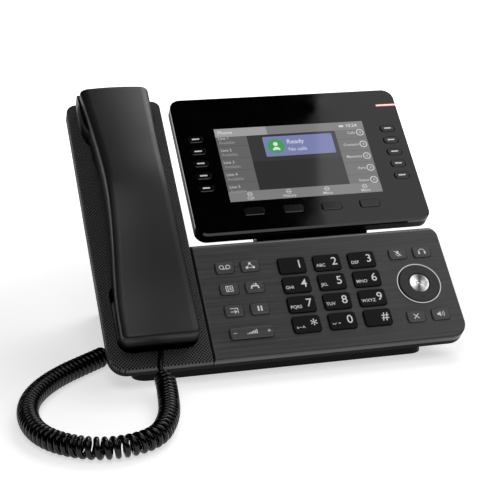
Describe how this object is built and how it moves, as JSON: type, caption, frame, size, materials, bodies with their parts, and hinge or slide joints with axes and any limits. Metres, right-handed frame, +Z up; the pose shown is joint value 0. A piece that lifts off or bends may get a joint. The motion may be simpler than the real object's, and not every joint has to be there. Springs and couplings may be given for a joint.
{
  "type": "desk ip phone",
  "caption": "Corded desk phone: sloping panel with cradle and keypad, a tilting colour display, a hand-held receiver on a curly cord, and a plate-and-tower stand.",
  "frame": {"origin": "centre of the phone's footprint, on the desk, without its cord", "axes": "+X to the phone's right, +Y to its back, +Z up"},
  "size_m": [0.3044, 0.2704, 0.1666],
  "materials": {
    "housing": "satin",
    "dimpled_cover": "fine dimples",
    "brushed_faceplate": "brushed",
    "stand": "satin",
    "feet": "matt",
    "bright_ring": "polished",
    "bracket": "satin",
    "steel_pin": "ground",
    "plug": "gloss",
    "cord": "satin",
    "handset": "satin",
    "handset_lower": "satin",
    "display_front": "high gloss",
    "display_back": "satin",
    "screen": "backlit",
    "light_window": "frosted",
    "gimbal": "satin",
    "dial_key": "satin",
    "function_key": "satin",
    "display_key": "gloss",
    "nav_key": "satin",
    "ok_metal": "spun"
  },
  "bodies": {
    "base": {"base_housing": "housing", "cradle_cover": "dimpled_cover", "keypad_faceplate": "brushed_faceplate", "foot_stand": "stand", "rubber_feet": "feet", "nav_rim": "bright_ring", "display_bracket": "bracket", "hinge_pin": "steel_pin", "plug_base": "plug", "cord_coil": "cord", "cord_tail_handset": "cord", "cord_tail_base": "cord"},
    "handset": {"handset_top_shell": "handset", "handset_bottom_shell": "handset_lower", "plug_handset": "plug"},
    "display": {"display_bezel": "display_front", "display_rear_cover": "display_back", "lcd_panel": "screen", "light_bar": "light_window"},
    "volume_rocker": {"volume_rocker": "function_key"},
    "nav_gimbal": {"nav_gimbal": "gimbal"},
    "nav_ring": {"nav_ring": "nav_key"},
    "ok_key": {"ok_key": "ok_metal"},
    "dial_key_1": {"dial_key_1": "dial_key"},
    "dial_key_2": {"dial_key_2": "dial_key"},
    "dial_key_3": {"dial_key_3": "dial_key"},
    "dial_key_4": {"dial_key_4": "dial_key"},
    "dial_key_5": {"dial_key_5": "dial_key"},
    "dial_key_6": {"dial_key_6": "dial_key"},
    "dial_key_7": {"dial_key_7": "dial_key"},
    "dial_key_8": {"dial_key_8": "dial_key"},
    "dial_key_9": {"dial_key_9": "dial_key"},
    "dial_key_star": {"dial_key_star": "dial_key"},
    "dial_key_0": {"dial_key_0": "dial_key"},
    "dial_key_hash": {"dial_key_hash": "dial_key"},
    "key_voicemail": {"key_voicemail": "function_key"},
    "key_conference": {"key_conference": "function_key"},
    "key_directory": {"key_directory": "function_key"},
    "key_answer": {"key_answer": "function_key"},
    "key_transfer": {"key_transfer": "function_key"},
    "key_hold": {"key_hold": "function_key"},
    "key_mute": {"key_mute": "function_key"},
    "key_headset": {"key_headset": "function_key"},
    "key_cancel": {"key_cancel": "function_key"},
    "key_speaker": {"key_speaker": "function_key"},
    "line_key_left_1": {"line_key_left_1": "display_key"},
    "line_key_left_2": {"line_key_left_2": "display_key"},
    "line_key_left_3": {"line_key_left_3": "display_key"},
    "line_key_left_4": {"line_key_left_4": "display_key"},
    "line_key_left_5": {"line_key_left_5": "display_key"},
    "line_key_right_1": {"line_key_right_1": "display_key"},
    "line_key_right_2": {"line_key_right_2": "display_key"},
    "line_key_right_3": {"line_key_right_3": "display_key"},
    "line_key_right_4": {"line_key_right_4": "display_key"},
    "line_key_right_5": {"line_key_right_5": "display_key"},
    "soft_key_1": {"soft_key_1": "display_key"},
    "soft_key_2": {"soft_key_2": "display_key"},
    "soft_key_3": {"soft_key_3": "display_key"},
    "soft_key_4": {"soft_key_4": "display_key"},
    "hook_plunger": {"hook_plunger": "gimbal"}
  },
  "joints": [
    {"name": "handset_lift", "type": "slide", "parent": "base", "child": "handset", "axis": [0, -0.66, 0.7513], "range_m": [0, 0.08]},
    {"name": "display_tilt", "type": "hinge", "parent": "base", "child": "display", "pos_m": [0.036, 0.00172, 0.0686], "axis": [1, 0, 0], "range_deg": [0, 18]},
    {"name": "volume_rock", "type": "hinge", "parent": "base", "child": "volume_rocker", "pos_m": [-0.0263, -0.0678, 0.02258], "axis": [0, 0.7513, 0.66], "range_deg": [-2, 2], "stiffness_Nm_per_rad": 0.5},
    {"name": "nav_rock_up_down", "type": "hinge", "parent": "base", "child": "nav_gimbal", "pos_m": [0.0961, -0.04919, 0.03959], "axis": [1, 0, 0], "range_deg": [-2, 2], "stiffness_Nm_per_rad": 0.5},
    {"name": "nav_rock_left_right", "type": "hinge", "parent": "nav_gimbal", "child": "nav_ring", "pos_m": [0.0961, -0.04919, 0.03959], "axis": [0, 0.7513, 0.66], "range_deg": [-2, 2], "stiffness_Nm_per_rad": 0.5},
    {"name": "ok_press", "type": "slide", "parent": "base", "child": "ok_key", "axis": [0, 0.66, -0.7513], "range_m": [0, 0.001], "stiffness_N_per_m": 1200},
    {"name": "press_1", "type": "slide", "parent": "base", "child": "dial_key_1", "axis": [0, 0.66, -0.7513], "range_m": [0, 0.0012], "stiffness_N_per_m": 900},
    {"name": "press_2", "type": "slide", "parent": "base", "child": "dial_key_2", "axis": [0, 0.66, -0.7513], "range_m": [0, 0.0012], "stiffness_N_per_m": 900},
    {"name": "press_3", "type": "slide", "parent": "base", "child": "dial_key_3", "axis": [0, 0.66, -0.7513], "range_m": [0, 0.0012], "stiffness_N_per_m": 900},
    {"name": "press_4", "type": "slide", "parent": "base", "child": "dial_key_4", "axis": [0, 0.66, -0.7513], "range_m": [0, 0.0012], "stiffness_N_per_m": 900},
    {"name": "press_5", "type": "slide", "parent": "base", "child": "dial_key_5", "axis": [0, 0.66, -0.7513], "range_m": [0, 0.0012], "stiffness_N_per_m": 900},
    {"name": "press_6", "type": "slide", "parent": "base", "child": "dial_key_6", "axis": [0, 0.66, -0.7513], "range_m": [0, 0.0012], "stiffness_N_per_m": 900},
    {"name": "press_7", "type": "slide", "parent": "base", "child": "dial_key_7", "axis": [0, 0.66, -0.7513], "range_m": [0, 0.0012], "stiffness_N_per_m": 900},
    {"name": "press_8", "type": "slide", "parent": "base", "child": "dial_key_8", "axis": [0, 0.66, -0.7513], "range_m": [0, 0.0012], "stiffness_N_per_m": 900},
    {"name": "press_9", "type": "slide", "parent": "base", "child": "dial_key_9", "axis": [0, 0.66, -0.7513], "range_m": [0, 0.0012], "stiffness_N_per_m": 900},
    {"name": "press_star", "type": "slide", "parent": "base", "child": "dial_key_star", "axis": [0, 0.66, -0.7513], "range_m": [0, 0.0012], "stiffness_N_per_m": 900},
    {"name": "press_0", "type": "slide", "parent": "base", "child": "dial_key_0", "axis": [0, 0.66, -0.7513], "range_m": [0, 0.0012], "stiffness_N_per_m": 900},
    {"name": "press_hash", "type": "slide", "parent": "base", "child": "dial_key_hash", "axis": [0, 0.66, -0.7513], "range_m": [0, 0.0012], "stiffness_N_per_m": 900},
    {"name": "press_voicemail", "type": "slide", "parent": "base", "child": "key_voicemail", "axis": [0, 0.66, -0.7513], "range_m": [0, 0.0008], "stiffness_N_per_m": 1200},
    {"name": "press_conference", "type": "slide", "parent": "base", "child": "key_conference", "axis": [0, 0.66, -0.7513], "range_m": [0, 0.0008], "stiffness_N_per_m": 1200},
    {"name": "press_directory", "type": "slide", "parent": "base", "child": "key_directory", "axis": [0, 0.66, -0.7513], "range_m": [0, 0.0008], "stiffness_N_per_m": 1200},
    {"name": "press_answer", "type": "slide", "parent": "base", "child": "key_answer", "axis": [0, 0.66, -0.7513], "range_m": [0, 0.0008], "stiffness_N_per_m": 1200},
    {"name": "press_transfer", "type": "slide", "parent": "base", "child": "key_transfer", "axis": [0, 0.66, -0.7513], "range_m": [0, 0.0008], "stiffness_N_per_m": 1200},
    {"name": "press_hold", "type": "slide", "parent": "base", "child": "key_hold", "axis": [0, 0.66, -0.7513], "range_m": [0, 0.0008], "stiffness_N_per_m": 1200},
    {"name": "press_mute", "type": "slide", "parent": "base", "child": "key_mute", "axis": [0, 0.66, -0.7513], "range_m": [0, 0.0008], "stiffness_N_per_m": 1200},
    {"name": "press_headset", "type": "slide", "parent": "base", "child": "key_headset", "axis": [0, 0.66, -0.7513], "range_m": [0, 0.0008], "stiffness_N_per_m": 1200},
    {"name": "press_cancel", "type": "slide", "parent": "base", "child": "key_cancel", "axis": [0, 0.66, -0.7513], "range_m": [0, 0.0008], "stiffness_N_per_m": 1200},
    {"name": "press_speaker", "type": "slide", "parent": "base", "child": "key_speaker", "axis": [0, 0.66, -0.7513], "range_m": [0, 0.0008], "stiffness_N_per_m": 1200},
    {"name": "press_line_key_left_1", "type": "slide", "parent": "display", "child": "line_key_left_1", "axis": [0, 0.66, -0.7513], "range_m": [0, 0.0005], "stiffness_N_per_m": 1500},
    {"name": "press_line_key_left_2", "type": "slide", "parent": "display", "child": "line_key_left_2", "axis": [0, 0.66, -0.7513], "range_m": [0, 0.0005], "stiffness_N_per_m": 1500},
    {"name": "press_line_key_left_3", "type": "slide", "parent": "display", "child": "line_key_left_3", "axis": [0, 0.66, -0.7513], "range_m": [0, 0.0005], "stiffness_N_per_m": 1500},
    {"name": "press_line_key_left_4", "type": "slide", "parent": "display", "child": "line_key_left_4", "axis": [0, 0.66, -0.7513], "range_m": [0, 0.0005], "stiffness_N_per_m": 1500},
    {"name": "press_line_key_left_5", "type": "slide", "parent": "display", "child": "line_key_left_5", "axis": [0, 0.66, -0.7513], "range_m": [0, 0.0005], "stiffness_N_per_m": 1500},
    {"name": "press_line_key_right_1", "type": "slide", "parent": "display", "child": "line_key_right_1", "axis": [0, 0.66, -0.7513], "range_m": [0, 0.0005], "stiffness_N_per_m": 1500},
    {"name": "press_line_key_right_2", "type": "slide", "parent": "display", "child": "line_key_right_2", "axis": [0, 0.66, -0.7513], "range_m": [0, 0.0005], "stiffness_N_per_m": 1500},
    {"name": "press_line_key_right_3", "type": "slide", "parent": "display", "child": "line_key_right_3", "axis": [0, 0.66, -0.7513], "range_m": [0, 0.0005], "stiffness_N_per_m": 1500},
    {"name": "press_line_key_right_4", "type": "slide", "parent": "display", "child": "line_key_right_4", "axis": [0, 0.66, -0.7513], "range_m": [0, 0.0005], "stiffness_N_per_m": 1500},
    {"name": "press_line_key_right_5", "type": "slide", "parent": "display", "child": "line_key_right_5", "axis": [0, 0.66, -0.7513], "range_m": [0, 0.0005], "stiffness_N_per_m": 1500},
    {"name": "press_soft_key_1", "type": "slide", "parent": "display", "child": "soft_key_1", "axis": [0, 0.66, -0.7513], "range_m": [0, 0.0005], "stiffness_N_per_m": 1500},
    {"name": "press_soft_key_2", "type": "slide", "parent": "display", "child": "soft_key_2", "axis": [0, 0.66, -0.7513], "range_m": [0, 0.0005], "stiffness_N_per_m": 1500},
    {"name": "press_soft_key_3", "type": "slide", "parent": "display", "child": "soft_key_3", "axis": [0, 0.66, -0.7513], "range_m": [0, 0.0005], "stiffness_N_per_m": 1500},
    {"name": "press_soft_key_4", "type": "slide", "parent": "display", "child": "soft_key_4", "axis": [0, 0.66, -0.7513], "range_m": [0, 0.0005], "stiffness_N_per_m": 1500},
    {"name": "hook_travel", "type": "slide", "parent": "base", "child": "hook_plunger", "axis": [0, -0.66, 0.7513], "range_m": [0, 0.003]}
  ],
  "couplings": [
    {"joint": "hook_travel", "follows": "handset_lift", "ratio": 0.0375}
  ]
}
